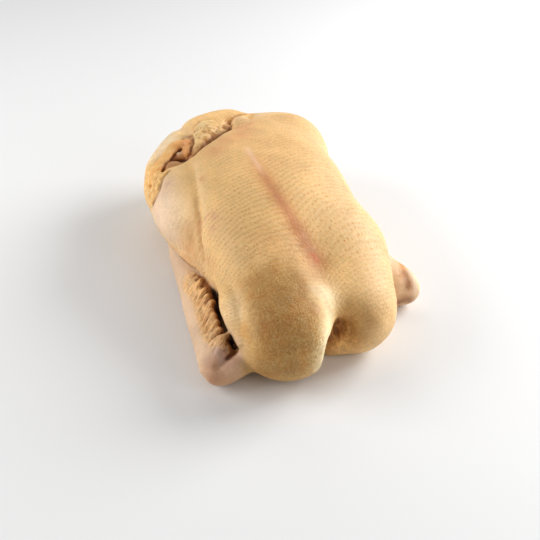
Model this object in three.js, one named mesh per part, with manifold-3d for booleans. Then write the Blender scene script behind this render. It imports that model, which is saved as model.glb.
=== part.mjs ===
// A whole dressed Muscovy duck, plucked and raw, lying on its back with the breast up.
// Millimetres, +Z up, +Y from the tail to the neck, +X to the right as seen from the tail.
// The bird is one piece: its legs are tucked under the skin, its wings lie along its flanks,
// and its neck skin is folded over at the left of the neck opening. So it is one closed solid.
import * as THREE from "three";
import { mergeVertices } from "three/addons/utils/BufferGeometryUtils.js";
import Module from "manifold-3d";

const at = (x, y, z) => new THREE.Vector3(x, y, z);

// Driving dimensions of the trunk
const BREAST_TOP = 91;
const BREAST_DEPTH = 82;
const BREAST_LENGTH = { left: 188, right: 220 };
const BREAST_WIDTH = { left: 88, right: 96 };
const MUSCLE_SPACING = 50;
const KEEL_X = 3;
const BREAST_MIDDLE_Y = { left: 68, right: 88 };
const BACK_SIZE = at(120, 244, 60);
const BACK_MIDDLE = at(8, 48, 22);
const BELLY_SIZE = at(76, 76, 40);
const BELLY_MIDDLE = at(8, -38, 20);

// Where the joints of the legs and wings lie under the skin, and how thick the flesh is there
const HIP = { left: at(-20, 14, 42), right: at(46, 2, 38) };
const HOCK = { left: at(-25, -66, 33), right: at(34, -53, 29) };
const SHOULDER = { left: at(-54, 78, 49), right: at(57, 143, 47) };
const ELBOW = { left: at(-57, 62, 20), right: at(53, 72, 20) };
const WRIST = { left: at(-70, -67, 14), right: at(89, -21, 14) };
const WING_TIP = { left: at(-41, -57, 10), right: at(62, -17, 11) };
const THIGH_RADIUS = 34;
const HOCK_RADIUS = { left: 34, right: 29 };
const SHOULDER_SIZE = { left: at(57, 94, 63), right: at(62, 78, 70) };
const ELBOW_RADIUS = 16.5;
const WRIST_RADIUS = 14.5;
const WING_TIP_RADIUS = 10;

// The skin ridge along the inner edge of each forearm, where the quills sat
const RIDGE_RADIUS = 7;
const RIDGE_RISE = 13;
const RIDGE_INSET = 4;
const RIDGE_SPAN = [0.12, 0.9];

// The cleft between the leg ends, and the gap between the left wing and the flank above it
const CLEFT_MIDDLE = at(13, -101, 24);
const CLEFT_SIZE = at(28, 68, 72);
const GAP_LINE = [at(-50, 36, 42), at(-49, 0, 41), at(-55, -34, 35), at(-54, -64, 30)];
const GAP_RADII = [5, 7, 7, 7];

// The neck opening, and the skin folded over it
const OPENING_MIDDLE = at(-21, 140, 74);
const OPENING_SIZE = at(120, 60, 68);
const OPENING_TURN = 40;
const POUCH_MIDDLE = at(-12, 144, 34);
const POUCH_SIZE = at(120, 100, 76);
const POUCH_TURN = 28;
const FOLD_RADIUS = 15;
const FOLD_LINE = [
  at(26, 168, 64), at(10, 178, 65), at(-14, 178, 62), at(-39, 162, 56),
  at(-59, 140, 48), at(-65, 120, 38), at(-60, 102, 30),
];
const STUMP_RADIUS = { end: 13, middle: 16 };
const STUMP_LINE = [at(0, 152, 66), at(-16, 142, 67), at(-34, 118, 56)];
const STUMP_BED_MIDDLE = at(-12, 138, 46);
const STUMP_BED_SIZE = at(88, 56, 38);

// Fillets where one form runs into the next, from soft flesh to a sharp fold
const FLESH = 18;
const KEEL = 44;
const TENDON = 6;
const CREASE = 5;

const BODY_CELL = 7.25;
const WING_CELL = 5.2;
const NECK_CELL = 5.4;
const GAP_CELL = 4.4;
const RELAXING_ROUNDS = 3;

// Distance fields: each takes a point and gives the distance to a surface, negative inside it

function ellipsoid(middle, size, turn = 0) {
  const axis = at(0, 0, 1);
  const back = THREE.MathUtils.degToRad(-turn);
  const radii = size.clone().divideScalar(2);
  const local = at(0, 0, 0);
  return (point) => {
    local.copy(point).sub(middle).applyAxisAngle(axis, back).divide(radii);
    const inner = local.length();
    const slope = local.divide(radii).length();
    return slope > 0 ? (inner * (inner - 1)) / slope : -Math.min(...radii);
  };
}

// A limb: flesh of the given radii round straight bones from joint to joint
function limb(joints, radii) {
  const bone = at(0, 0, 0);
  const reach = at(0, 0, 0);
  return (point) => {
    let nearest = Infinity;
    for (let i = 0; i + 1 < joints.length; i++) {
      bone.copy(joints[i + 1]).sub(joints[i]);
      reach.copy(point).sub(joints[i]);
      const share = THREE.MathUtils.clamp(reach.dot(bone) / bone.lengthSq(), 0, 1);
      const radius = THREE.MathUtils.lerp(radii[i], radii[i + 1], share);
      nearest = Math.min(nearest, reach.addScaledVector(bone, -share).length() - radius);
    }
    return nearest;
  };
}

const rounding = (a, b, fillet) => Math.max(fillet - Math.abs(a - b), 0) ** 2 / (4 * fillet);

function blend(fillet, first, ...others) {
  return (point) =>
    others.reduce((sum, other) => {
      const next = other(point);
      return Math.min(sum, next) - rounding(sum, next, fillet);
    }, first(point));
}

function press(fillet, flesh, dent) {
  return (point) => {
    const outside = flesh(point);
    const clear = -dent(point);
    return Math.max(outside, clear) + rounding(outside, clear, fillet);
  };
}

// The surface of a field as a closed mesh of near-square cells, by surface nets
function surfaceOf(field, low, high, cell) {
  const count = [0, 1, 2].map((axis) => Math.ceil((high[axis] - low[axis]) / cell) + 1);
  const stride = [1, count[0], count[0] * count[1]];
  const values = new Float64Array(stride[2] * count[2]);
  const eachCell = (first, visit) => {
    for (let k = first; k + 1 < count[2]; k++)
      for (let j = first; j + 1 < count[1]; j++)
        for (let i = first; i + 1 < count[0]; i++) visit([i, j, k], i + j * stride[1] + k * stride[2]);
  };
  eachCell(0, ([i, j, k], here) => {
    values[here] = field(at(low[0] + i * cell, low[1] + j * cell, low[2] + k * cell));
  });

  const corners = Array.from({ length: 8 }, (_, c) => [c & 1, (c >> 1) & 1, c >> 2]);
  const offsets = corners.map(([a, b, c]) => a * stride[0] + b * stride[1] + c * stride[2]);
  const edges = corners.flatMap((_, a) => [1, 2, 4].filter((bit) => !(a & bit)).map((bit) => [a, a | bit]));
  const positions = [];
  const vertexOf = new Map();
  eachCell(0, (place, here) => {
    const middle = at(0, 0, 0);
    const from = at(0, 0, 0);
    const to = at(0, 0, 0);
    let crossings = 0;
    for (const [a, b] of edges) {
      const start = values[here + offsets[a]];
      const end = values[here + offsets[b]];
      if (start < 0 === end < 0) continue;
      middle.add(from.fromArray(corners[a]).lerp(to.fromArray(corners[b]), start / (start - end)));
      crossings++;
    }
    if (!crossings) return;
    vertexOf.set(here, positions.length / 3);
    middle.divideScalar(crossings).add(from.fromArray(place)).multiplyScalar(cell);
    positions.push(...middle.add(from.fromArray(low)));
  });

  const triangles = [];
  eachCell(1, (_, here) => {
    for (let axis = 0; axis < 3; axis++) {
      const inside = values[here] < 0;
      if (inside === values[here + stride[axis]] < 0) continue;
      const u = stride[(axis + 1) % 3];
      const w = stride[(axis + 2) % 3];
      const ring = [here, here - u, here - u - w, here - w].map((cellIndex) => vertexOf.get(cellIndex));
      if (!inside) ring.reverse();
      triangles.push(ring[0], ring[1], ring[2], ring[0], ring[2], ring[3]);
    }
  });
  return { positions: new Float32Array(positions), triangles: new Uint32Array(triangles) };
}

const wasm = await Module();
wasm.setup();

function solidOf({ positions, triangles }) {
  return new wasm.Manifold(new wasm.Mesh({ numProp: 3, vertProperties: positions, triVerts: triangles }));
}

// A solid with each corner moved towards the middle of its neighbours, which softens the joins
function relaxed(solid, rounds) {
  const { vertProperties, triVerts: triangles } = solid.getMesh();
  const neighbours = Array.from({ length: vertProperties.length / 3 }, () => new Set());
  triangles.forEach((corner, index) => {
    const next = triangles[index % 3 === 2 ? index - 2 : index + 1];
    neighbours[corner].add(next);
    neighbours[next].add(corner);
  });
  let positions = vertProperties;
  for (let round = 0; round < rounds; round++) {
    const moved = new Float32Array(positions.length);
    neighbours.forEach((ring, vertex) => {
      for (let axis = 0; axis < 3; axis++) {
        let sum = 0;
        for (const other of ring) sum += positions[other * 3 + axis];
        moved[vertex * 3 + axis] = (positions[vertex * 3 + axis] + sum / ring.size) / 2;
      }
    });
    positions = moved;
  }
  return solidOf({ positions, triangles });
}

function blockBelow(height, low, high) {
  const depth = height - low[2];
  const block = new THREE.BoxGeometry(high[0] - low[0], high[1] - low[1], depth)
    .translate((low[0] + high[0]) / 2, (low[1] + high[1]) / 2, height - depth / 2)
    .deleteAttribute("normal")
    .deleteAttribute("uv");
  const merged = mergeVertices(block);
  return solidOf({
    positions: merged.getAttribute("position").array,
    triangles: new Uint32Array(merged.getIndex().array),
  });
}

// The trunk: two broad breast muscles over the keel, the flat back and the soft belly
function breastMuscle(side, sign) {
  const x = KEEL_X + (sign * MUSCLE_SPACING) / 2;
  const size = at(BREAST_WIDTH[side], BREAST_LENGTH[side], BREAST_DEPTH);
  return ellipsoid(at(x, BREAST_MIDDLE_Y[side], BREAST_TOP - BREAST_DEPTH / 2), size);
}

const breast = blend(KEEL, breastMuscle("left", -1), breastMuscle("right", 1));
const trunk = blend(FLESH, breast, ellipsoid(BACK_MIDDLE, BACK_SIZE), ellipsoid(BELLY_MIDDLE, BELLY_SIZE));

const leg = (side) => limb([HIP[side], HOCK[side]], [THIGH_RADIUS, HOCK_RADIUS[side]]);
const shoulder = (side) => ellipsoid(SHOULDER[side], SHOULDER_SIZE[side]);

// The left shoulder stands off the breast with a crease, and the right one runs into it
function bodyField() {
  const fleshed = blend(FLESH, trunk, leg("left"), leg("right"), shoulder("right"));
  const shouldered = blend(CREASE, fleshed, shoulder("left"));
  return press(TENDON, shouldered, ellipsoid(CLEFT_MIDDLE, CLEFT_SIZE));
}

// A wing: forearm and folded tip, with the quill ridge raised along the forearm's inner edge
function wingField(side, inward) {
  const joints = [ELBOW[side], WRIST[side], WING_TIP[side]];
  const arm = limb(joints, [ELBOW_RADIUS, WRIST_RADIUS, WING_TIP_RADIUS]);
  const raised = RIDGE_SPAN.map((share) =>
    ELBOW[side].clone().lerp(WRIST[side], share).add(at(inward * RIDGE_INSET, 0, RIDGE_RISE * (1 - share / 2))),
  );
  return blend(TENDON, arm, limb(raised, [RIDGE_RADIUS, RIDGE_RADIUS - 1]));
}

// The neck skin: a full pouch behind the opening, with its edge rolled over as a thick fold
function neckSkinField() {
  const fold = limb(FOLD_LINE, FOLD_LINE.map((_, i) => FOLD_RADIUS - (i % (FOLD_LINE.length - 1) ? 0 : 2.5)));
  return blend(TENDON * 2, ellipsoid(POUCH_MIDDLE, POUCH_SIZE, POUCH_TURN), fold);
}

// The neck stump, a lobe of pimpled skin that lies in the opening on a bed of fat
function neckStumpField() {
  const lobe = limb(STUMP_LINE, [STUMP_RADIUS.end, STUMP_RADIUS.middle, STUMP_RADIUS.end - 1]);
  return blend(CREASE, lobe, ellipsoid(STUMP_BED_MIDDLE, STUMP_BED_SIZE, OPENING_TURN));
}

const SPACE_LOW = [-120, -145, -20];
const SPACE_HIGH = [120, 220, 110];

const meshed = (field, cell) => solidOf(surfaceOf(field, SPACE_LOW, SPACE_HIGH, cell));

let bird = meshed(bodyField(), BODY_CELL)
  .subtract(meshed(ellipsoid(OPENING_MIDDLE, OPENING_SIZE, OPENING_TURN), NECK_CELL))
  .add(meshed(wingField("left", 1), WING_CELL))
  .add(meshed(wingField("right", -1), WING_CELL))
  .add(meshed(neckSkinField(), NECK_CELL))
  .add(meshed(neckStumpField(), NECK_CELL))
  .subtract(meshed(limb(GAP_LINE, GAP_RADII), GAP_CELL));

// The bird's weight flattens its back where it lies
bird = relaxed(bird, RELAXING_ROUNDS).subtract(blockBelow(0, SPACE_LOW, SPACE_HIGH));

const surface = bird.getMesh();
const geometry = new THREE.BufferGeometry()
  .setAttribute("position", new THREE.BufferAttribute(surface.vertProperties, 3))
  .setIndex(new THREE.BufferAttribute(surface.triVerts, 1));
geometry.computeBoundingBox();
const middle = geometry.boundingBox.getCenter(at(0, 0, 0));
geometry.translate(-middle.x, -middle.y, 0);
geometry.computeVertexNormals();

const skin = new THREE.MeshStandardMaterial({ color: 0xd9b583, roughness: 0.5, metalness: 0 });
const duck = new THREE.Mesh(geometry, skin);
duck.name = "duck";

const part = new THREE.Group();
part.add(duck);
export default part;
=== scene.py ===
import bpy
import numpy as np
from mathutils import Matrix, Vector


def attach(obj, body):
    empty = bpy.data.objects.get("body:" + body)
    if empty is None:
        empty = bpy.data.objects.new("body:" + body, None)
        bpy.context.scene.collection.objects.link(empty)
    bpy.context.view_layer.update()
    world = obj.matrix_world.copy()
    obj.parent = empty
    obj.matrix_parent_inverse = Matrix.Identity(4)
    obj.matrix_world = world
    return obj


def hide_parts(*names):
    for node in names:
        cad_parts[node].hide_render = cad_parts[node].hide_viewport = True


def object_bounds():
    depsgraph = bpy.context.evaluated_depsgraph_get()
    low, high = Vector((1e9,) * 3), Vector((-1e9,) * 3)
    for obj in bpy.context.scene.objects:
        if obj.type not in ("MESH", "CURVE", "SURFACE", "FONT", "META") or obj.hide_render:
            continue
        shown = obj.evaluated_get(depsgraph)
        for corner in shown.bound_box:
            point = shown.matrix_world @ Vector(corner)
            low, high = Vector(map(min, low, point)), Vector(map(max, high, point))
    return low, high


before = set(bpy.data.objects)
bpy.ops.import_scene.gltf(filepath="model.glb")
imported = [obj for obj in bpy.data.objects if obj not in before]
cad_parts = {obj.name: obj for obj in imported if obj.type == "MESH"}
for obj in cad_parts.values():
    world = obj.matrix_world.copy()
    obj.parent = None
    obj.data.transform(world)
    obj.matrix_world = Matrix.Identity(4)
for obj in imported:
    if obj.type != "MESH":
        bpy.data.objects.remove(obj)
cad_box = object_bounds()

# The carcass: flesh and fat over the bones, under one unbroken skin. Its form is that of the
# solid, rid of its facets: it is remeshed evenly, let down by smoothing, and swollen again by
# what the smoothing takes.
MM = 0.001
CARCASS_MESH = 1.7
CARCASS_SMOOTHING = 12
CARCASS_SWELLING = 0.4


def select_only(*pieces):
    bpy.ops.object.select_all(action="DESELECT")
    for piece in pieces:
        piece.select_set(True)
    bpy.context.view_layer.objects.active = pieces[0]


def modified(piece, kind, **settings):
    """Adds a modifier with these settings to the piece and applies it."""
    modifier = piece.modifiers.new(kind.lower(), kind)
    for name, value in settings.items():
        setattr(modifier, name, value)
    select_only(piece)
    bpy.ops.object.modifier_apply(modifier=modifier.name)


def remeshed(piece, size):
    """Gives the piece an even mesh with faces of this many millimetres."""
    modified(piece, "REMESH", mode="VOXEL", voxel_size=size * MM)


def spots(piece):
    """The places of the piece's vertices, in millimetres."""
    flat = np.empty(len(piece.data.vertices) * 3, np.float32)
    piece.data.vertices.foreach_get("co", flat)
    return flat.reshape(-1, 3).astype(float) / MM


def normals(piece):
    """The ways in which the skin faces at the piece's vertices."""
    flat = np.empty(len(piece.data.vertices) * 3, np.float32)
    piece.data.vertices.foreach_get("normal", flat)
    return flat.reshape(-1, 3).astype(float)


def push(piece, moves):
    """Moves the piece's vertices by these millimetres, as with a modelling thumb."""
    placed = (spots(piece) + moves) * MM
    piece.data.vertices.foreach_set("co", placed.astype(np.float32).ravel())
    piece.data.update()


def smoothed(piece, rounds):
    modified(piece, "SMOOTH", factor=0.5, iterations=rounds)


bird = bpy.data.objects.new("plucked_duck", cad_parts["duck"].data.copy())
bpy.context.scene.collection.objects.link(bird)
select_only(bird)
bpy.ops.object.mode_set(mode="EDIT")
bpy.ops.mesh.select_all(action="SELECT")
bpy.ops.mesh.remove_doubles(threshold=1e-6)
bpy.ops.object.mode_set(mode="OBJECT")
bird.data.materials.clear()
remeshed(bird, CARCASS_MESH)
smoothed(bird, CARCASS_SMOOTHING)
push(bird, normals(bird) * CARCASS_SWELLING)

# The cleft between the legs, with left and right as seen from the tail: the skin of the left
# leg's end turns in over a sharp edge, and the hollow behind it rises softly to the right thigh.
# It is pressed in by vertex moves, within pairs of bounds: where it starts and where it is full.
LEG_EDGE = [(-7, -112, 56), (-6, -121, 50), (-11, -132, 46.5), (-15, -139, 43), (-17, -142, 36),
            (-17.5, -143, 27), (-17, -141, 14), (-16, -136, 2)]
CLEFT_DEPTH = 18
CLEFT_INWARD = np.array([0.35, 0.93, 0.1])
CLEFT_LIP = (-0.3, 3.2)
CLEFT_WIDTH = (30, 4)
CLEFT_REACH = (34, 10)
CLEFT_TOP = 46
CLEFT_FULL_HEIGHT = 24
CLEFT_SLANT = 0.4
CLEFT_FRONT = (-98, -112)


def rounded(line):
    """A smooth line through these joints, with a few steps from each to the next."""
    steps = 6
    joints = np.array([line[0], *line, line[-1]], float)
    share = np.linspace(0, 1, steps, endpoint=False)[:, None]
    parts = []
    for a, b, c, d in zip(joints, joints[1:], joints[2:], joints[3:]):
        parts.append(b + share * ((c - a) / 2 + share * (a - 2.5 * b + 2 * c - d / 2
                                                         + share * (1.5 * (b - c) + (d - a) / 2))))
    return np.vstack([*parts, joints[-1:]])


class Track:
    """How points lie to a line: how far off, how far along (0 to 1), and the way across."""

    def __init__(self, points, line):
        line = rounded(line)
        lengths = np.linalg.norm(np.diff(line, axis=0), axis=1)
        self.off = np.full(len(points), np.inf)
        self.along = np.zeros(len(points))
        self.gap = np.zeros_like(points)
        self.way = np.zeros_like(points)
        start = 0.0
        for a, b, length in zip(line, line[1:], lengths):
            if length == 0:
                continue
            way = (b - a) / length
            reach = np.clip((points - a) @ way, 0, length)
            gap = points - a - reach[:, None] * way
            off = np.linalg.norm(gap, axis=1)
            near = off < self.off
            self.off[near] = off[near]
            self.along[near] = (start + reach[near]) / lengths.sum()
            self.gap[near] = gap[near]
            self.way[near] = way
            start += length

    def across(self, facing):
        """How far to the right of the line, for one who walks along it on a surface facing so."""
        side = np.cross(self.way, facing)
        side /= np.maximum(np.linalg.norm(side, axis=1, keepdims=True), 1e-6)
        return np.einsum("ij,ij->i", self.gap, side)


def bell(distance, width):
    """From 1 at no distance down to nearly 0 at two widths."""
    return np.exp(-((distance / width) ** 2))


def step(value, low, high):
    """From 0 at the first bound to 1 at the second, whichever is larger."""
    share = np.clip((value - low) / (high - low), 0, 1)
    return share * share * (3 - 2 * share)


points = spots(bird)
edge = Track(points, LEG_EDGE)
right_of_edge = edge.gap[:, 0]
dip = step(right_of_edge, *CLEFT_LIP) * step(right_of_edge, *CLEFT_WIDTH) * step(edge.off, *CLEFT_REACH)
full_height = CLEFT_FULL_HEIGHT - CLEFT_SLANT * np.clip(points[:, 0], 0, CLEFT_WIDTH[0])
dip *= step(points[:, 2], CLEFT_TOP, full_height) * step(points[:, 1], *CLEFT_FRONT)
push(bird, dip[:, None] * CLEFT_INWARD * CLEFT_DEPTH)

# The neck skin: cut long when the neck was taken off, and folded over the opening in a thick
# roll with lesser folds inside it, over the stump of the neck, which is pale and pimpled.
# Crevices are pressed in first, and each fold and knot of fat is then laid half sunk in the skin.
CREVICE_ENDS = 0.12
CREVICE_END_DEPTH = 0.25
# Each crevice is a line, its depth, and its half width.
NECK_CREVICES = [
    ([(4, 122, 70), (-3, 118, 72.5), (-4, 110, 73.5), (-9, 104, 76)], 6, 3.4),
    ([(-15, 119, 76), (-25, 116, 75), (-33, 109.5, 73), (-38.5, 99.5, 73)], 2.5, 2.4),
    ([(-38.5, 99.5, 73), (-43.5, 86.5, 72), (-48, 77, 69), (-51, 75, 63)], 3, 2),
    ([(-50, 77, 63), (-58, 80, 64), (-66, 77.5, 63), (-71, 72, 60), (-77, 62, 54), (-84, 53, 46),
      (-88, 48, 36)], 5, 2.8),
    ([(-42.5, 98, 71.5), (-41.5, 114, 73), (-44, 129, 62), (-48, 138, 48), (-50, 138, 30)], 3.4, 5.5),
]
# Each fold is a line and its radii, and each knot is a middle and its radii.
NECK_FOLDS = {
    "outer_fold": ([(-45, 90, 71), (-51, 92, 70.8), (-56, 91, 69.6), (-62, 86.5, 67.2), (-68, 80.5, 63.8),
                    (-73.5, 75, 60.8), (-79, 70, 56.6), (-82, 64, 50.4), (-83, 58, 42)],
                   [3, 4, 4.6, 4.6, 4.8, 5, 5, 4.2, 3]),
    "inner_fold": ([(-58, 83, 62), (-64.5, 79.5, 60.5), (-70.5, 74, 57.5), (-76, 66, 52.5)],
                   [2, 3.2, 3.8, 2.5]),
    "stump": ([(-8, 101, 67), (-18, 101, 70), (-27, 96, 71), (-34, 88, 69), (-41, 80, 66), (-47, 73.5, 61)],
              [8, 12, 13, 12, 9.5, 6]),
}
NECK_KNOTS = {
    "stump_crown": ((-25, 103, 72), (13, 10, 11.5)),
    "breast_corner": ((3.5, 101, 76.5), (9, 10, 8.5)),
    "corner_base": ((3, 87, 79), (12, 14, 9.5)),
    "neck_gland": ((-46.5, 88.5, 71.8), (4.2, 5, 4.4)),
    "gland_tail": ((-51.5, 89, 69), (4.4, 4, 4)),
    "brown_knob": ((-10.5, 98.5, 76), (5, 4.6, 4.6)),
    "flesh_low": ((-48.8, 81.5, 69), (4.2, 7, 4.6)),
    "red_flesh": ((-53, 83, 63.5), (7.5, 5, 5.2)),
    "white_tendon": ((-56, 81.8, 67), (1.9, 1.9, 2.1)),
    "joint_end": ((-62.5, 71.5, 58), (10, 8, 8)),
    "fat_1": ((-80, 71.5, 57.6), (3.8, 4.4, 3.8)),
    "fat_2": ((-82, 75.5, 48), (3.8, 4.4, 4.2)),
    "fat_3": ((-82.8, 50, 61.4), (3.4, 4.4, 3.8)),
    "fat_4": ((-85, 62, 49.8), (3.4, 4.4, 4)),
    "fat_5": ((-85, 41, 61.8), (3.2, 4.2, 3.6)),
    "fat_6": ((-86.6, 48, 53), (3.4, 4.6, 4.2)),
    "fat_7": ((-79.6, 56, 65), (3.2, 4.2, 3.4)),
}


def pressed(creases):
    """Presses each crease, a line with a depth and a half width, into the bird's skin."""
    points, facing = spots(bird), normals(bird)
    depth = np.zeros(len(points))
    for line, deepest, width in creases:
        track = Track(points, line)
        ends = step(track.along, 0, CREVICE_ENDS) * step(track.along, 1, 1 - CREVICE_ENDS)
        share = CREVICE_END_DEPTH + (1 - CREVICE_END_DEPTH) * ends
        depth = np.maximum(depth, deepest * bell(track.off, width) * share)
    push(bird, -facing * depth[:, None])


def tube(name, line, radii):
    """A soft tube along a line, with a radius at each joint."""
    curve = bpy.data.curves.new(name, "CURVE")
    curve.dimensions = "3D"
    curve.bevel_depth = MM
    curve.bevel_resolution = 6
    curve.use_fill_caps = True
    spline = curve.splines.new("NURBS")
    spline.points.add(len(line) - 1)
    for point, place, radius in zip(spline.points, line, radii):
        point.co = (*(np.array(place) * MM), 1)
        point.radius = radius
    spline.use_endpoint_u = True
    spline.order_u = 3
    spline.resolution_u = 6
    piece = bpy.data.objects.new(name, curve)
    bpy.context.scene.collection.objects.link(piece)
    select_only(piece)
    bpy.ops.object.convert(target="MESH")
    return bpy.context.view_layer.objects.active


def lump(name, place, radii):
    """A smooth knot with a radius along each axis."""
    bpy.ops.object.select_all(action="DESELECT")
    bpy.ops.mesh.primitive_ico_sphere_add(
        subdivisions=4, radius=1, location=np.array(place) * MM, scale=np.array(radii) * MM,
    )
    piece = bpy.context.view_layer.objects.active
    piece.name = name
    bpy.ops.object.transform_apply(location=True, rotation=True, scale=True)
    return piece


pressed(NECK_CREVICES)
laid = [tube(name, *form) for name, form in NECK_FOLDS.items()]
laid += [lump(name, *form) for name, form in NECK_KNOTS.items()]

# The wings: forearm and hand lie folded along the flank, a narrow gap off the thigh. The quills
# were pulled from the forearm's inner edge, which stays as a ridge of skin in slanting folds.
# Ridge, folds and thigh are laid on the carcass, and one skin is drawn over the whole.
SKIN_MESH = 1.05
SKIN_SMOOTHING = 3
QUILL_RIDGE = [(-78, -24, 28.5), (-77, -34, 29), (-76.2, -46, 29), (-75.2, -57, 29), (-75.2, -68, 29),
               (-76, -79, 28.5), (-77, -89, 27.5), (-77, -98.5, 26.5), (-76, -106, 25.5), (-75, -112, 24)]
QUILL_RIDGE_RADII = [2.4, 3.4, 4.2, 4.4, 4.4, 4.4, 4.4, 4.4, 4, 3]
THIGH_SIDE = [(-64.4, -43.4, 36.8), (-60.7, -51.2, 38.7), (-57.7, -60.4, 40.6), (-57.6, -74.4, 42.1),
              (-60.2, -83.3, 42.1), (-62.2, -90.8, 41.6), (-62, -95.7, 41.1), (-62.2, -104.9, 39.6),
              (-61.4, -111.3, 36.7), (-62.4, -120.9, 32.2)]
THIGH_SIDE_RADII = [5, 7, 9, 10, 10, 10, 10, 10, 8, 6]
FOLD_ROOT = (1.6, 0.8, -4)
FOLD_GIRTH = (1.9, 2.5)
FOLD_TAPER = ([0, 0.5, 1], [1, 1.05, 0.6])
FIRST_FOLD_SHARE = 0.55
SLIM_FOLDS = 3
QUILL_FOLDS = [
    [(-73.9, -35, 34.4), (-75, -35, 33), (-77, -35, 31)],
    [(-71.6, -39.1, 34.3), (-73.5, -41, 33.6), (-76.5, -43, 31.4)],
    [(-70.4, -43.5, 34), (-74.3, -49, 34.2), (-79.1, -52.5, 31)],
    [(-71.2, -55.9, 33.8), (-76.9, -62, 33.8), (-80, -64.5, 30.8)],
    [(-71.4, -63.6, 33.6), (-76.4, -68.8, 33.4), (-80.4, -71.5, 30.4)],
    [(-70.2, -70.7, 33.2), (-73.8, -74.6, 33.6), (-78.4, -78, 30.6)],
    [(-73.9, -79, 33), (-79, -84.2, 33), (-82, -87, 29.6)],
    [(-73, -84, 32.8), (-78.4, -91, 32.4), (-82.7, -93.5, 29)],
    [(-73.6, -91, 32.2), (-78.2, -96.6, 31.8), (-82.9, -99.9, 28.3)],
    [(-73.4, -99, 31.4), (-78.1, -101.5, 31.3), (-81.8, -103.4, 28.2)],
    [(-69.4, -104.6, 30.4), (-72.6, -107.2, 31.2), (-76.6, -107, 31.2), (-80, -107.7, 30.2),
     (-83.3, -108.4, 27)],
    [(-75.4, -109.7, 30), (-80.2, -112, 29.3), (-83, -112.8, 26.3)],
    [(-76.5, -113.3, 29.2), (-80.4, -116.4, 28.6), (-82.8, -117, 25.8)],
]

laid.append(tube("thigh_side", THIGH_SIDE, THIGH_SIDE_RADII))
laid.append(tube("quill_ridge", QUILL_RIDGE, QUILL_RIDGE_RADII))
dice = np.random.default_rng(7)
for count, line in enumerate(QUILL_FOLDS):
    line = [np.add(line[0], FOLD_ROOT), *line]
    fullness = FIRST_FOLD_SHARE + (1 - FIRST_FOLD_SHARE) * min(1, count / SLIM_FOLDS)
    girth = dice.uniform(*FOLD_GIRTH) * fullness
    taper = np.interp(np.linspace(0, 1, len(line)), *FOLD_TAPER)
    laid.append(tube(f"quill_fold_{count}", line, girth * taper))

select_only(bird, *laid)
bpy.ops.object.join()
remeshed(bird, SKIN_MESH)
smoothed(bird, SKIN_SMOOTHING)

# The skin's lesser forms: the shoulder's crease, the keel, the wrists, the bone under the left
# leg's end, pits and wrinkles. Each is raised or pressed into the skin by vertex moves along the
# line where it runs, and the mesh is then thinned and kept inside the solid's box.
SHOULDER_CREASE = [(-59, 30.8, 82.7), (-61.7, 7.6, 79.5), (-63.2, -5.4, 74.5), (-65.1, -16.1, 67.6),
                   (-66.8, -22.5, 61.6), (-68.7, -29.5, 53.5), (-68.6, -37.2, 44.7)]
SHOULDER_FOLD = [(-73.5, -14.5, 52), (-72.9, -17.2, 42.7), (-70.9, -26.8, 39.8)]
SHOULDER_PINCH = [(-62.7, -20.5, 72.4), (-57.9, -29.5, 75.4), (-53.7, -39.8, 76.1), (-61.1, -35.9, 69.8)]
KEEL = [(-18.5, 40, 96), (-17.2, 22.7, 96), (-16.3, -7.8, 93.4), (-12.8, -37.7, 86.6),
        (-6.6, -63.4, 74.9), (-2.8, -76, 66.8), (-0.8, -82.6, 63.1)]
LEG_BONE = [(-12.9, -108.2, 60.9), (-8.9, -113.4, 57.3), (-6.9, -119.7, 53.3), (-5.7, -123, 49.7)]
WRIST_GROOVE = [(-83, -125.3, 21.9), (-77.7, -123, 24.6), (-71.1, -117.1, 25.8), (-65.3, -109.6, 25)]
KNUCKLE = [(-83.6, -125, 21.8), (-87.1, -125.9, 12.9)]
RIGHT_DIMPLE = [(80.5, -69, 26.5), (79.9, -73.3, 25), (78.6, -78, 21.5)]
HAND = [(-78, -125, 20), (-73.2, -123, 22.2), (-69.4, -121.4, 23), (-65, -120.4, 25)]
HAND_CREASE = [(-75.5, -120.5, 23.8), (-72.5, -119, 24.8), (-69, -117.2, 25.6), (-66, -115, 27)]
SHOULDER_EDGE = [(-84, 14, 30), (-81.1, 5.2, 30.1), (-78.5, -8.2, 30.5), (-76.4, -17.3, 32),
                 (-74.3, -25.8, 33.2), (-72, -31, 34), (-70.6, -36, 34.3), (-68.5, -40, 34)]
EDGE_RISE = (0.5, 0.1, 0.86)
EDGE_LAP = (-0.6, 0.9)
LAP_WIDTH = 5
LAP_STEP = 3
LAP_SINK = 1.8
CREASE_DEPTH = 2.4
CREASE_WIDTH = 3.2
CREASE_REACH = 8
CREASE_HEAD_SHARE = 0.45
CREASE_BOTTOM_DEPTH = 1.5
CREASE_BOTTOM_WIDTH = 1.8
CREASE_TAIL = (0.5, 0.7)
KEEL_RIDGE = 0.15
KEEL_RIDGE_WIDTH = 3
KEEL_TROUGH = 0.3
KEEL_TROUGH_WIDTH = 9
# Each low form is a line, how far it is raised, and its half width.
LOW_FORMS = [
    (LEG_BONE, 0.7, 4.5),
    (WRIST_GROOVE, -2.4, 2.6),
    (KNUCKLE, 1.2, 5),
    (SHOULDER_FOLD, 0.8, 5),
    (RIGHT_DIMPLE, -2.2, 4.4),
    (HAND, 1, 2.6),
    (HAND_CREASE, -1.8, 1.4),
]
CUT_EDGE = [(-74, 41.5, 75.5), (-79.8, 37.6, 72.3), (-82.5, 32.7, 70.3), (-84.6, 28.9, 67.9),
            (-86.7, 27.4, 64.1), (-88.5, 28.7, 59.3), (-89, 31, 54)]
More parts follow.
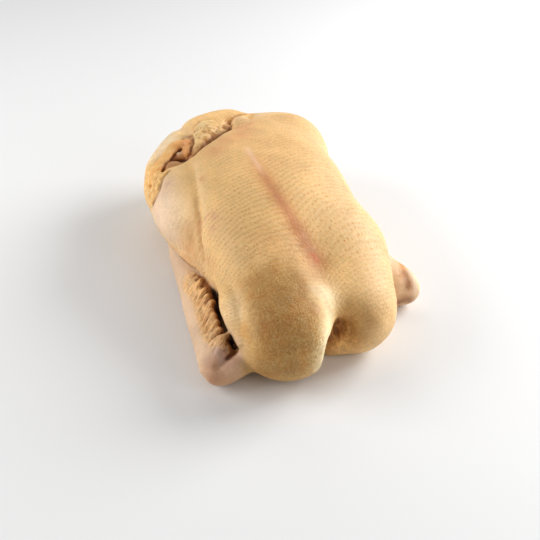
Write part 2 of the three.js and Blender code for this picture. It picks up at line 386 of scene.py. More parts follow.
# Each crease is a line, its depth, its half width, and how strongly painted shade darkens it later.
NECK_CREASES = [
    ([(-33, 90, 80.5), (-30.4, 87.1, 81.2), (-27, 83.9, 78.9), (-30, 81, 77.3)], 0.7, 1.1, 0.3),
    ([(-27, 84.4, 79), (-23.5, 87, 80), (-21, 91, 81)], 0.6, 1.1, 0.3),
    ([(-18, 88, 80), (-19, 94, 82), (-16, 100, 82)], 0.7, 1.1, 0.3),
    ([(-51.6, 74.7, 63.7), (-50, 74.9, 66.9), (-47.9, 76.9, 70.2), (-45.7, 79.3, 73.2), (-43.3, 84.2, 76.1),
      (-41.5, 94.8, 75.2), (-37.4, 104.3, 74.8)], 1.8, 1.2, 0.9),
    ([(-37.4, 104.3, 74.8), (-33.5, 114.7, 73.5), (-28.9, 119.5, 74.8)], 1, 1.6, 0.3),
    ([(-46.6, 101.9, 70.1), (-54.7, 92.6, 71.4), (-59.7, 90.9, 69.7), (-64.4, 85.6, 67.4), (-69, 80.6, 64.8),
      (-73, 76.4, 62.3), (-77.4, 72, 59.2), (-80, 69, 56)], 1.2, 1.2, 0.4),
    ([(-53, 84.6, 69.2), (-59.8, 82.5, 66.4), (-63.9, 78.6, 64.4), (-66.6, 74.6, 63.6), (-70, 71.2, 62.4),
      (-72.6, 69, 60)], 1.4, 1.1, 0.7),
    ([(-66, 75.6, 63.8), (-58, 78.4, 62.6), (-52.8, 77, 63.2), (-50, 75, 62)], 1.8, 1.1, 1),
    (CUT_EDGE, 2.2, 1.4, 0.8),
    ([(-2.2, 117.1, 71.9), (0.1, 117.6, 74.4), (3.3, 119, 76.4), (8.7, 121.8, 77.5), (14, 123, 77.5)],
     1.4, 1.2, 0.6),
]
# Each dent is a place, its depth, and its half width.
DENTS = [((-15, -111.7, 61.4), 0.5, 4), ((-17, -118.4, 61), 0.7, 3.4), ((-21.4, -124.2, 61.4), 0.7, 3.4),
         ((-69.3, -17.8, 62.5), 1.4, 6), ((-71.5, -20.4, 51.5), 1.2, 5), ((-69.1, -30.9, 49.3), 1.2, 4),
         ((-75.7, 0, 66), 0.8, 7), ((-58, -100, 55), 0.7, 7), ((-63, -125, 38), 0.8, 6)]
HOLLOW = (3, -119, 26)
HOLLOW_RADII = (15, 13, 18)
WING_GAP = [(-70.5, -36, 0), (-68.2, -43, 0), (-66, -51, 0), (-65.8, -61, 0), (-67.6, -71, 0),
            (-69.6, -80, 0), (-70.2, -87, 0), (-70.1, -94, 0), (-69.6, -100, 0), (-68.4, -106, 0),
            (-67.6, -112, 0)]
# Each width of the gap belongs to a place along the bird.
GAP_WIDTHS = ([-113, -109, -105, -102, -94, -80, -70, -60, -50, -42, -35],
              [0.6, 2.2, 0.7, 1.1, 1.4, 1.9, 2.6, 2.6, 2.4, 1.9, 0.8])
GAP_DEPTH = 8
GAP_FLOOR = (6, 14)
GAP_BRIM = (35.5, 33)
GAP_DOWN = (-0.2, 0, 1)
MOST_FACES = 190000


def grain(points, size, seed):
    """Smooth noise from about -1 to 1, in lumps of that size."""
    cells, gain = 32, 1.6
    table = np.random.default_rng(seed).uniform(-1, 1, (cells, cells, cells))
    place = points / size + 1000.0
    base = np.floor(place).astype(int)
    share = place - base
    share = share * share * (3 - 2 * share)
    total = np.zeros(len(points))
    for corner in np.ndindex(2, 2, 2):
        weight = np.prod(np.where(corner, share, 1 - share), axis=1)
        total += weight * table[tuple((base + corner).T % cells)]
    return total * gain


def bulge(points, middle, radii):
    """From 1 at the middle down to nearly 0 at two radii, each axis with its own."""
    return bell(np.linalg.norm((points - middle) / radii, axis=1), 1)


def form(points, name, reach=0.4, soft=2.0):
    """Where the skin is that of this fold or knot, with a soft border that far off it."""
    if name in NECK_FOLDS:
        line, radii = NECK_FOLDS[name]
        track = Track(points, line)
        off = track.off - np.interp(track.along, np.linspace(0, 1, len(radii)), radii)
    else:
        middle, radii = NECK_KNOTS[name]
        off = (np.linalg.norm((points - middle) / radii, axis=1) - 1) * min(radii)
    return step(off, reach + soft, reach)


def beside_cut(points, facing):
    """The strip of fat between the shoulder's edge and the neck skin's outer fold."""
    cut_edge = Track(points, CUT_EDGE)
    past_cut = step(cut_edge.across(facing), 0.2, 1.4) * step(cut_edge.off, 18, 12)
    return past_cut * step(points[:, 0], -72, -76)


def in_hollow(points):
    """How far these points lie in the hollow to the right of the left leg's edge."""
    return bulge(points, HOLLOW, HOLLOW_RADII) * step(Track(points, LEG_EDGE).gap[:, 0], 0.5, 4)


def in_gap(points):
    """How far these points lie in the gap between the wing and the thigh."""
    off = Track(points * (1, 1, 0), WING_GAP).off
    return bell(off, np.interp(points[:, 1], *GAP_WIDTHS))


points, facing = spots(bird), normals(bird)
crease = Track(points, SHOULDER_CREASE)
relief = -CREASE_DEPTH * bell(crease.across(facing), CREASE_WIDTH) * bell(crease.off, CREASE_REACH)
relief *= step(crease.along, 0, 0.1)
relief *= CREASE_HEAD_SHARE + (1 - CREASE_HEAD_SHARE) * step(crease.along, 0.3, 0.7)
relief -= CREASE_BOTTOM_DEPTH * bell(crease.off, CREASE_BOTTOM_WIDTH) * step(crease.along, *CREASE_TAIL)
keel = Track(points, KEEL)
keel_form = KEEL_RIDGE * bell(keel.off, KEEL_RIDGE_WIDTH) - KEEL_TROUGH * bell(keel.off, KEEL_TROUGH_WIDTH)
relief += keel_form * step(keel.along, 0, 0.2)
for line, height, width in LOW_FORMS:
    relief += height * bell(Track(points, line).off, width)
for place, depth, width in DENTS:
    relief -= depth * bell(np.linalg.norm(points - place, axis=1), width)
relief += in_hollow(points) * 0.55 * grain(points * (1, 1, 0.45), 2.6, 5)
lap = Track(points, SHOULDER_EDGE)
over = step(lap.gap @ EDGE_RISE, *EDGE_LAP)
relief += bell(lap.off, LAP_WIDTH) * (LAP_STEP * over - LAP_SINK) * step(lap.along, 0, 0.15)
for line, depth, width, _ in NECK_CREASES:
    relief -= depth * bell(Track(points, line).off, width)
relief += form(points, "stump") * (0.45 * grain(points, 4.2, 8) + 0.4 * grain(points, 2.4, 14))
relief += form(points, "outer_fold") * 0.45 * grain(points * (0.6, 0.6, 1.2), 3.2, 15)
relief += beside_cut(points, facing) * 0.6 * grain(points * (1, 0.8, 1), 5, 9)
sinking = GAP_DEPTH * in_gap(points) * step(points[:, 2], *GAP_FLOOR) * step(points[:, 2], *GAP_BRIM)
push(bird, facing * relief[:, None] - sinking[:, None] * GAP_DOWN)
bird.data.calc_loop_triangles()
modified(bird, "DECIMATE", ratio=MOST_FACES / len(bird.data.loop_triangles))
placed = np.clip(spots(bird), np.array(cad_box[0]) / MM, np.array(cad_box[1]) / MM)
push(bird, placed - spots(bird))

bird.data.shade_smooth()
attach(bird, "root")
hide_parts("duck")

# The follicles, left where the feathers were plucked. On the breast and legs they lie in curved
# rows: here every point of the skin is given its place across and along those rows, and how much
# they show there, for the material to prick them by.
KEEL_LINE = np.array(KEEL)[::-1]
BARREL_RADIUS = 62
BARREL_AXIS = 25
TAIL_TURN = -85
TAIL_RADIUS = 57
TAIL_AXIS = 18
RIGHT_BREAST = 55
RIGHT_FLANK = 60
LEFT_BREAST = -90
RIGHT_SLANT = (0.75, -0.0043)
FLANK_SLANT = 0.28
LEFT_SLANT = (0.12, 0.00067)
# Each distance between rows belongs to a place along the bird.
ROWS_LEFT = ([-220, -90, 0, 60, 160], [4.6, 4.0, 3.5, 3.2, 3.2])
ROWS_RIGHT = ([-220, -90, 0, 60, 160], [5.4, 5.0, 4.0, 3.2, 3.2])
DOT_PITCHES = [2.5, 3.1]
WING_TOP = (36, 22)
WING_SLANT = 0.15
WING_SIDE = (60, 72)
WING_HEAD = (40, 0)
NECK_WAY = (-0.18, 1, 0.35)
NECK_START = (118, 128)
SHOULDER = ((-82, 22, 55), (14, 34, 30))
SHOULDER_START = (-58, -64)
SMOOTH_BREAST = ((-38, 42, 90), (34, 26, 20))
ROWS_FLOOR = (22, 34)


def row_number(pitches):
    """Rows counted along the bird, where these are the distances between rows at these places."""
    stride = 2.0
    places = np.arange(-220, 161, stride)
    count = np.cumsum(stride / np.interp(places, *pitches))
    return np.interp(down, places, count)


points, facing = spots(bird), normals(bird)
keel = Track(points, KEEL)
quills = Track(points, QUILL_RIDGE)
crease = Track(points, SHOULDER_CREASE)
lap = Track(points, SHOULDER_EDGE)
x, y, z = points.T
keel_x = np.interp(y, KEEL_LINE[:, 1], KEEL_LINE[:, 0])
across = BARREL_RADIUS * np.arctan2(x - keel_x, z - BARREL_AXIS)
round_tail = TAIL_TURN - TAIL_RADIUS * np.arctan2(TAIL_TURN - y, z - TAIL_AXIS)
down = np.where(y < TAIL_TURN, round_tail, y)
right = np.clip(across, 0, RIGHT_BREAST)
left = np.clip(across, LEFT_BREAST, 0)
down -= RIGHT_SLANT[0] * right + RIGHT_SLANT[1] * right**2
down -= FLANK_SLANT * np.clip(across - RIGHT_BREAST, 0, RIGHT_FLANK)
down -= LEFT_SLANT[0] * left + LEFT_SLANT[1] * left**2

rows = np.where(across < 0, row_number(ROWS_LEFT), row_number(ROWS_RIGHT))
rows += 0.24 * grain(points, 14, 11) + 0.17 * grain(points, 5, 12)
dots = across / np.where(across < 0, *DOT_PITCHES) + 0.25 * grain(points, 9, 13)

above_lap = step(lap.gap @ EDGE_RISE, *EDGE_LAP) * bell(lap.off, 16)
wing = step(z - WING_SLANT * np.abs(x), *WING_TOP) * step(np.abs(x), *WING_SIDE)
wing *= step(y, *WING_HEAD) * (1 - above_lap)
neck = step(points @ NECK_WAY, *NECK_START) * step(facing[:, 1], -0.6, 0.1)
shoulder = bulge(points, *SHOULDER) * step(x, *SHOULDER_START)
smooth_breast = bulge(points, *SMOOTH_BREAST)
left_of_crease = step(crease.gap[:, 0], 0, -3) * bell(crease.off, 20)
by_crease = step(crease.off, 28, 8) * step(y, -30, -5)
on_rows = step(z, *ROWS_FLOOR) * (1 - wing) * (1 - neck) * step(keel.off, 2, 8) * step(np.abs(across), 1, 4)
on_rows *= (1 - step(facing[:, 1], 0.45, 0.75)) * (1 - 0.55 * smooth_breast)
on_rows *= (1 - 0.75 * shoulder) * (1 - 0.6 * left_of_crease) * (1 - 0.6 * by_crease)
loose = np.clip(0.25 + 0.75 * shoulder + 0.6 * neck + 0.2 * wing + form(points, "stump"), 0, 1)
orange = step(across, 5, 30)

# The skin's colours: fat and flesh show through it, pale and warm on the breast, pinker over the
# keel and joints, olive and brown on the left leg. They are brushed on in soft layers, each over the
# ones before it, with painted shade in the crevices, creases, hollows and gaps, and painted highlights on a
# few edges and rounds.
GROUND = (232.0, 186, 122)
DISPLAY_GAMMA = 2.2
LEG_BROWN = [(-38.2, -121, 64.9), (-31.9, -112.6, 67.1), (-40, -113.5, 66.2), (-25, -114, 65),
             (-22, -110, 66.5), (-24, -104, 68)]
UPPER_BREAST = [(-5.8, 4.9, 95.3), (-4.2, 57.2, 94.7), (-4, 30, 96), (12, 30, 95.5), (5, 75, 91),
                (33.9, 90.8, 86.6)]
KEEL_END = [(-1.9, -84.1, 62.7), (-4.7, -79.3, 65.8), (-6.1, -72.6, 69.9), (-8.6, -62.4, 76.2)]
BELOW_KEEL = [(-1, -85, 62), (-3, -90, 61.5), (-5, -96, 61), (-7, -103, 60)]
THIGH_TOP = [(-23, -78.2, 72.4), (-30.6, -68.9, 75.8), (-19.2, -88.2, 68.6), (-18.2, -95, 66.6)]
FAT_BEADS = [(-84.8, 61.5, 53.6), (-80.8, 55.8, 67.9), (-88.2, 38, 62.8), (-86.6, 77.7, 40.2),
             (-83, 84.8, 49.8)]
WING_STUB = [(83, -58, 26.5), (80.9, -63.5, 26.1), (77.5, -70.5, 25.1)]
RIGHT_WRIST = [(85, -68, 25), (84.4, -75.7, 24.4), (84, -80.8, 19)]
WRIST_SHADE = [(80, -82, 10), (76.7, -82.1, 12.1), (71.2, -80.5, 9.2)]
CORNER_FLUSH = [(-14, 67.2, 92.6), (-7.3, 68, 93), (0.1, 73, 92.2), (4, 76, 91)]
RIM_SHADE = [(-5, 96, 76.5), (-12, 90, 78), (-19.9, 85, 78.3), (-27, 81, 77), (-34.9, 77, 75.3),
             (-41, 73, 71.5), (-47, 71.5, 67)]
# Most folds and knots of the neck skin have a colour, which is brushed on this strongly.
NECK_COLOURS = {
    "outer_fold": ((246, 196, 126), 0.9),
    "inner_fold": ((206, 150, 98), 0.8),
    "stump": ((238, 201, 142), 1),
    "stump_crown": ((244, 210, 150), 1),
    "breast_corner": ((240, 192, 138), 0.5),
    "corner_base": ((238, 192, 136), 0.4),
    "joint_end": ((172, 124, 80), 0.9),
    "red_flesh": ((216, 154, 100), 1),
    "gland_tail": ((236, 176, 112), 0.9),
    "flesh_low": ((224, 162, 100), 1),
    "neck_gland": ((234, 164, 106), 1),
    "brown_knob": ((208, 156, 104), 0.9),
    "fat_1": ((248, 200, 128), 0.9),
    "fat_2": ((240, 188, 114), 0.9),
    "fat_3": ((242, 192, 120), 0.9),
    "fat_4": ((244, 198, 128), 0.8),
    "fat_5": ((240, 188, 114), 0.8),
    "fat_6": ((242, 190, 118), 0.8),
    "fat_7": ((240, 188, 114), 0.8),
}
DEEP_FLESH = ("stump", "inner_fold", "outer_fold", "red_flesh")
tone = np.tile(np.array(GROUND), (len(points), 1))
clouds, specks = grain(points, 18, 21), grain(points, 5, 22)


def brush(colour, mask):
    """Brushes the colour on as strongly as the mask says, from 0 to 1."""
    tone[:] += (np.array(colour) - tone) * np.clip(mask, 0, 1)[:, None]


def patch(places, width):
    """From 1 at these places down to nearly 0 at two widths from the nearest."""
    off = [np.linalg.norm(points - place, axis=1) for place in places]
    return bell(np.min(off, axis=0), width)


def dab(colour, places, width, share, specked=0.0):
    """Brushes the colour on around these places, some of it only in specks."""
    brush(colour, patch(places, width) * (share + specked * specks))


def stroke(colour, line, width, share):
    """Brushes the colour on along this line."""
    brush(colour, bell(Track(points, line).off, width) * share)


def hollowness(piece, rounds):
    """How deep each point lies under the skin's own smoothed form."""
    edges = np.empty(len(piece.data.edges) * 2, np.int32)
    piece.data.edges.foreach_get("vertices", edges)
    a, b = edges.reshape(-1, 2).T
    count = np.bincount(a, minlength=len(points)) + np.bincount(b, minlength=len(points))
    even = points.copy()
    for _ in range(rounds):
        total = np.zeros_like(even)
        for axis in range(3):
            total[:, axis] = (np.bincount(a, even[b, axis], len(points))
                              + np.bincount(b, even[a, axis], len(points)))
        even = total / count[:, None]
    return np.einsum("ij,ij->i", even - points, facing)


# Breast, shoulder and wing
brush((236, 196, 142), 0.6 * step(across, 0, 60))
brush((244, 216, 190), shoulder * 0.9)
# A painted sheen: a paler patch on the shoulder's rounded side.
dab((242, 212, 180), [(-83.5, -3, 46), (-88, 10, 48)], width=12, share=0.7)
dab((200, 160, 140), [(-81, 24.6, 72), (-88, 33, 58), (-86, 20, 50)], width=8, share=0.45, specked=0.3)
brush((213, 179, 150), wing * 0.85)
brush((208, 146, 90), 0.85 * bell(keel.off, 7.5) * step(keel.along, 0.15, 0.45))
brush((192, 126, 86), 0.7 * bell(keel.off, 3.4) * step(keel.along, 0.1, 0.3))
# A painted highlight: a thin pinkish-white strip along the upper part of the keel.
keel_head = step(keel.along, 0.07, 0.13) * step(keel.along, 0.42, 0.3)
brush((240, 196, 170), 0.8 * bell(keel.off, 2) * keel_head)
dab((188, 136, 82), BELOW_KEEL, width=9, share=0.65)
dab((176, 108, 50), KEEL_END, width=6.5, share=0.7)
dab((204, 98, 48), [(-0.8, -82.6, 63.1), (-2, -79.5, 65)], width=2.2, share=0.7)
dab((214, 166, 108), UPPER_BREAST, width=20, share=0.55)
dab((208, 156, 98), THIGH_TOP, width=12, share=0.5)
dab((216, 148, 98), [(-27, 46.6, 93.8), (-14.8, 49.8, 95), (-39, 36.5, 91.7), (-8, 60, 94)],
    width=9, share=0.55)
crease_side = crease.gap[:, 0]
# Painted shade on the left side of the shoulder's crease, and painted light on its right side.
brush((200, 156, 98), step(crease_side, 0, -3) * bell(crease.off, 7) * 0.45)
brush((244, 212, 166), step(crease_side, 0, 2.5) * bell(crease.off, 8) * 0.5)
brush((210, 150, 96), bell(Track(points, SHOULDER_FOLD).off, 8) * (0.55 + 0.35 * specks))
dab((206, 150, 112), SHOULDER_PINCH, width=5, share=0.2, specked=0.5)
# Painted shade in the bottom of the crease's lower part.
brush((150, 98, 58), bell(crease.off, 1.5) * step(crease.along, 0.5, 0.7) * 0.6)
dab((206, 136, 96), [(-56.6, 9.7, 83.5)], width=3, share=0.5)
dab((206, 140, 92), [(-65.5, -51.9, 49.8), (-66, -46, 50), (-66.5, -21, 64)],
    width=4, share=0.35, specked=0.4)
# Painted shade under the shoulder's overlapping edge.
brush((206, 160, 108), above_lap * bell(lap.off, 6) * 0.6)

# Legs and the cleft between them
LEG_TOP = (-74, -108)
LEG_INNER_SIDE = (-10, -26)
LEG_OUTER_SIDE = (-68, -54)
LEG_UNDERSIDE = (24, 6)
left_leg = step(y, *LEG_TOP) * step(x, *LEG_INNER_SIDE) * step(x, *LEG_OUTER_SIDE)
left_leg *= 1 - 0.5 * step(z, *LEG_UNDERSIDE)
brush((181, 139, 76), left_leg * (0.75 + 0.25 * step(clouds, -0.6, 0.8)))
brush((204, 146, 76), left_leg * step(grain(points, 8, 31), 0.1, 0.9) * 0.5)
brush((166, 108, 46), left_leg * step(grain(points, 7, 37), 0.0, 0.8) * 0.4)
dab((152, 112, 58), LEG_BROWN, width=9, share=0.6, specked=0.3)
dab((146, 98, 44), [(-54.7, -131.6, 52.4), (-52, -137.7, 48.6), (-48, -134, 55)],
    width=8, share=0.35, specked=0.35)
dab((168, 132, 82), [(-50.6, -142.8, 29), (-41.3, -145.7, 26), (-57.5, -137.2, 31)],
    width=6, share=0.35, specked=0.4)
dab((170, 116, 54), [(-45, -136, 52), (-41, -138.5, 46), (-47, -137, 42), (-50, -131, 55)],
    width=8, share=0.35, specked=0.4)
dab((200, 136, 62), [(-59, -92, 56), (-56.6, -96, 58), (-57, -104, 57), (-64, -120, 45)],
    width=6, share=0.4, specked=0.4)
dab((252, 218, 170), [(-62.7, -105.2, 49.9), (-65.6, -98.1, 38.3), (-62.6, -96.4, 49.9)],
    width=9, share=0.6)
# A painted highlight: a bright band along the left leg's inner edge, fading out low down.
stroke((255, 232, 184), LEG_EDGE, width=10, share=step(z, 8, 20))
stroke((216, 178, 128), LEG_BONE, width=5, share=0.5)
dab((226, 168, 132), [(-18.6, -128.2, 58.9)], width=2.6, share=0.5)
# Painted shade on the belly above the cleft and on the right thigh's inner side.
dab((196, 148, 88), [(11.2, -119.1, 49.1), (6.4, -119.2, 45.9), (15.8, -122.5, 46.5), (10.7, -120.1, 37.1)],
    width=8, share=0.6)
dab((186, 136, 76), [(15.9, -127.4, 28.7), (10.7, -120.1, 37.1), (21.7, -127.5, 40.5)],
    width=9, share=0.6)
hollow = in_hollow(points)
# The hollow's brown skin, deepened with painted shade.
brush((196, 138, 66), hollow * 0.75)
# Painted shade: the dark wedge in the crevice beside the left leg's edge.
dab((118, 60, 14), [(1.5, -112.5, 37), (4, -114, 32), (3.2, -116.6, 26.5), (-2.1, -119.1, 24)],
    width=6, share=0.75)

# Neck skin, with the fat at its edge
brush((246, 206, 152), neck * 0.8)
brush((255, 228, 190), neck * step(x, -45, -58) * 0.7)
fat = np.maximum(beside_cut(points, facing), patch(FAT_BEADS, 12) * 0.7 * (1 - shoulder))
brush((248, 198, 122), fat * 0.95)
brush((236, 184, 112), neck * step(z, 70, 78) * step(clouds, -0.6, 0.4) * 0.65)
for name, (colour, share) in NECK_COLOURS.items():
    brush(colour, form(points, name) * share)
stump = form(points, "stump")
brush((210, 158, 94), stump * (0.15 + 0.4 * specks))
brush((228, 160, 88), form(points, "outer_fold") * step(specks, -0.2, 0.9) * 0.55)
in_neck = np.maximum.reduce([neck, fat, *[form(points, name, 3, 4) for name in DEEP_FLESH]])

# Wings: the quill folds, the knuckles and the wrists
on_quills = step(quills.off, 11, 6) * step(quills.along, 0.02, 0.2)
on_quills *= (1 - step(x, -67, -64)) * step(lap.off, 2, 5)
quill_side = quills.gap[:, 0]
fine, deep = hollowness(bird, 6), hollowness(bird, 60)
brush((236, 181, 118), on_quills * (0.86 + 0.14 * specks))
# Painted shade in the valleys between the quill folds.
brush((116, 58, 16), on_quills * step(fine, 0.02, 0.3) * (1 - 0.6 * step(quill_side, -1, -4)))
# Painted shade on the ridge's inner side, which faces the body.
brush((140, 82, 34), on_quills * step(quill_side, 1.5, 4) * 0.85)
dab((160, 112, 84), [(-85, -122, 22), (-86, -126, 15)], width=8, share=0.8)
dab((214, 158, 116), [(-81, -128.3, 11.8), (-75, -127, 10), (-88, -127, 6)], width=7, share=0.6)
# The wrist's purple-grey skin, with a painted sheen on it.
dab((172, 140, 134), [(-80.5, -116.6, 27.6), (-78.3, -120.5, 25.2), (-77, -117, 27)],
    width=3.6, share=0.7)
stroke((232, 186, 160), HAND, width=3, share=0.8)
# Painted shade along the crease between wrist and hand, deepest at one point of it.
stroke((104, 62, 44), HAND_CREASE, width=1.6, share=0.8)
dab((96, 64, 52), [(-74, -119.8, 23.6)], width=1.8, share=0.8)
# Painted light: the right wrist's front, which faces away from the lamps, is brushed pale.
brush((250, 212, 168), step(x, 66, 72) * step(y, -96, -88) * step(z, 40, 34) * 0.8)
stroke((214, 140, 62), WING_STUB, width=3, share=0.9)
stroke((156, 104, 66), RIGHT_DIMPLE, width=4, share=0.8)
stroke((240, 206, 176), RIGHT_WRIST, width=2.6, share=0.9)
stroke((150, 104, 72), WRIST_SHADE, width=5, share=0.8)

# Painted shade in the creases, pits, crevices and gaps, with the smaller marks, over all the rest
# Painted shade along the neck's creases.
for line, _, width, share in NECK_CREASES:
    stroke((112, 62, 26), line, width * 1.15, share)
stroke((96, 50, 18), RIM_SHADE, width=2.6, share=0.85)
stroke((200, 124, 78), CORNER_FLUSH, width=2.6, share=0.4)
dab((190, 128, 84), [(-47.6, 78, 69.6), (-47.9, 83, 71.1), (-48.1, 72.9, 68.1)], width=2.2, share=0.6)
brush((176, 122, 60), stump * step(grain(points, 2.4, 33), 0.55, 0.9) * 0.55)
dab((200, 142, 92), [(-57.5, 79.5, 62.5), (-56, 81.8, 66)], width=4.5, share=0.9)
dab((250, 226, 188), [(-56.2, 81.2, 68.6)], width=2, share=0.9)
hollow_grain = grain(points, 2.2, 35)
brush((160, 104, 44), hollow * step(hollow_grain, 0, 0.7) * 0.35)
brush((232, 176, 100), hollow * step(hollow_grain, -0.3, -0.9) * 0.25)
brush((176, 108, 38), left_leg * step(grain(points, 3, 36), 0.3, 0.8) * 0.3)
# Painted shade in the neck's crevices, darkest where the skin lies deepest, less so at the tendon.
brush((150, 90, 42), step(fine, 0.15, 0.6) * in_neck * 0.8)
brush((120, 66, 28), step(deep, 1.0, 2.6) * in_neck)
brush((52, 22, 8), step(deep, 2.2, 4.2) * in_neck * (1 - 0.7 * patch([(-57, 80.5, 64)], 5)))
# Painted shade in the gap between the wing and the thigh.
brush((44, 18, 6), step(in_gap(points), 0.1, 0.5) * step(z, 34.5, 32.5))
# Painted shade: a thin dark line along the shoulder's edge over the wing.
brush((120, 72, 36), bell(lap.off, 1.2) * step(lap.along, 0.02, 0.2) * 0.8)
# Slight random tone, and painted shade that darkens the skin in its hollows and pales it on its rounds.
tone *= (1 + 0.03 * clouds + 0.015 * specks - 0.05 * np.clip(fine, -1, 1))[:, None]


def lay(name, kind, *columns):
    """Keeps these values, one of each for each point of the skin, where the material can read them."""
    layer = bird.data.attributes.new(name, kind, "POINT")
    values = np.column_stack(columns).astype(np.float32)
    layer.data.foreach_set("color" if kind == "FLOAT_COLOR" else "vector", values.ravel())


# How far the follicles show in each region, and which way the fine wrinkles run
CLEFT_APEX = np.array((-3, -116, 52))
CLEFT_WRINKLE_TURN = 14
QUILL_ACROSS = (-0.74, 0.67, 0.3)
QUILL_ALONG = (-0.67, -0.74, 0)
# The thigh's skin is mottled too, around these middles, out to these radii, and this strongly.
MOTTLED_THIGH = [((-45, -85, 66), (26, 26, 20), 0.6), ((-20, -84, 71), (18, 20, 16), 0.65)]
on_rows *= (1 - in_neck) * (1 - hollow) * (1 - 0.85 * left_leg) * (1 - 0.5 * step(y, -98, -122))
on_rows *= 1 - 0.6 * patch([(-2, -90, 62)], 16)
from_apex = points - CLEFT_APEX
turn = np.arctan2(from_apex[:, 0], -from_apex[:, 2])
in_cleft = hollow > on_quills
wrinkle_across = np.where(in_cleft, turn * CLEFT_WRINKLE_TURN, points @ QUILL_ACROSS)
wrinkle_along = np.where(in_cleft, np.linalg.norm(from_apex, axis=1), points @ QUILL_ALONG)
mottled = left_leg
for middle, radii, share in MOTTLED_THIGH:
    mottled = np.maximum(mottled, share * bulge(points, middle, radii))
lay("tone", "FLOAT_COLOR", (np.clip(tone, 0, 255) / 255) ** DISPLAY_GAMMA, fat)
lay("rows", "FLOAT_VECTOR", dots, rows, on_rows)
lay("marks", "FLOAT_VECTOR", loose, orange, mottled)
lay("wrinkles", "FLOAT_VECTOR", wrinkle_across, wrinkle_along, np.maximum(on_quills, hollow))

# The skin's finish: raw, moist and a little see-through, with a fine sheen. The follicles are
# pricked in dark along their rows and scattered elsewhere, the rows stand up as low ridges, paler on their
# crests and darker in their troughs by painted light and shade, and the leg is mottled, the fat beaded with
# painted shade between the beads, and the quill folds and the cleft finely wrinkled.
PER_METRE = 1000
FULL_TURN = 6.2832
LIT_RAISED_ROW = (0.9, 0.68, 0.42, 1)
SHADED_SUNKEN_ROW = (0.45, 0.2, 0.05, 1)
LEFT_DOT = (0.3, 0.06, 0.002, 1)
RIGHT_DOT = (0.56, 0.2, 0.025, 1)
LOOSE_DOT = (0.3, 0.09, 0.015, 1)
BRUISE = (0.3, 0.12, 0.018, 1)
GOOSE_BUMP = (0.72, 0.5, 0.26, 1)
SHADE_BETWEEN_FAT_BEADS = (0.6, 0.27, 0.06, 1)
ROW_DOT_RIM = (0.27, 0.06)
ROW_DOT_SCATTER = 0.55
ROW_OFFSET = 0.5
ROW_PHASE = 0.45
LOOSE_DOT_RIM = (0.16, 0.05)
LOOSE_DOT_SCATTER = 0.85
LOOSE_DOT_GAP = 3.8
PEBBLE_SIZE = 2.3
BLOTCH_SIZE = 13.0
FADING_SIZE = 9.0
CLUMP_SIZE = 7.0
MOTTLE_SIZE = 3.0
GRAIN_SIZE = 1.3
WEAVE_SIZE = 0.9
STRAND_STRETCH = (0.8, 0.13)
SHEEN = 0.32
SEE_THROUGH = 0.12
LIGHT_SPREAD = (1, 0.4, 0.2)
skin = bpy.data.materials.new("skin")
skin.use_nodes = True
shader = skin.node_tree.nodes["Principled BSDF"]


class Wire:
    """What a node of the skin's material gives. Maths on it adds Math nodes."""

    tree = skin.node_tree

    def __init__(self, socket):
        self.socket = socket

    @classmethod
    def node(cls, kind, settings, sockets, outlet=0):
        """Adds a node of this kind with its settings, and with values or links for its sockets."""
        made = cls.tree.nodes.new(kind)
        for name, value in settings.items():
            setattr(made, name, value)
        for name, value in sockets.items():
            if isinstance(value, cls):
                cls.tree.links.new(value.socket, made.inputs[name])
            else:
                made.inputs[name].default_value = value
        return cls(made.outputs[outlet])

    def maths(self, operation, first, second):
        return self.node("ShaderNodeMath", {"operation": operation}, {0: first, 1: second})

    def feeds(self, name):
        """Links this to a socket of the skin's shader."""
        self.tree.links.new(self.socket, shader.inputs[name])

    def __add__(self, other):
        return self.maths("ADD", self, other)

    def __sub__(self, other):
        return self.maths("SUBTRACT", self, other)

    def __rsub__(self, other):
        return self.maths("SUBTRACT", other, self)

    def __mul__(self, other):
        return self.maths("MULTIPLY", self, other)

    __radd__ = __add__
    __rmul__ = __mul__


def parts(name):
    """The three numbers kept on the skin under this name."""
    vector = Wire.node("ShaderNodeAttribute", {"attribute_name": name}, {}, "Vector")
    return [Wire.node("ShaderNodeSeparateXYZ", {}, {0: vector}, part) for part in range(3)]


def ramp(value, low, high):
    """From 0 at the first bound to 1 at the second, whichever is larger."""
    return Wire.node("ShaderNodeMapRange", {"interpolation_type": "SMOOTHSTEP"},
                     {"Value": value, "From Min": low, "From Max": high})


def mixed(mask, first, second):
    """The first colour, and as much of the second as the mask says."""
    return Wire.node("ShaderNodeMix", {"data_type": "RGBA"}, {0: mask, 6: first, 7: second}, 2)


def noise(size, detail=2.0):
    """Noise from 0 to 1, in lumps of this many millimetres."""
    sockets = {"Vector": place, "Scale": PER_METRE / size, "Detail": detail}
    return Wire.node("ShaderNodeTexNoise", {}, sockets)


def cells(dimensions, vector, scale, scatter):
    """How far each point is from the middle of its cell, and a number drawn for the cell."""
    settings = {"voronoi_dimensions": dimensions}
    sockets = {"Vector": vector, "Scale": scale, "Randomness": scatter}
    drawn = Wire.node("ShaderNodeTexVoronoi", settings, sockets, "Color")
    drawn = Wire.node("ShaderNodeSeparateColor", {}, {0: drawn})
    return Wire.node("ShaderNodeTexVoronoi", settings, sockets, "Distance"), drawn


place = Wire.node("ShaderNodeTexCoord", {}, {}, "Object")
dots, rows, on_rows = parts("rows")
loose, orange, mottled = parts("marks")
wrinkle_across, wrinkle_along, wrinkled = parts("wrinkles")
base = Wire.node("ShaderNodeAttribute", {"attribute_name": "tone"}, {}, "Color")
beaded = Wire.node("ShaderNodeAttribute", {"attribute_name": "tone"}, {}, "Alpha")

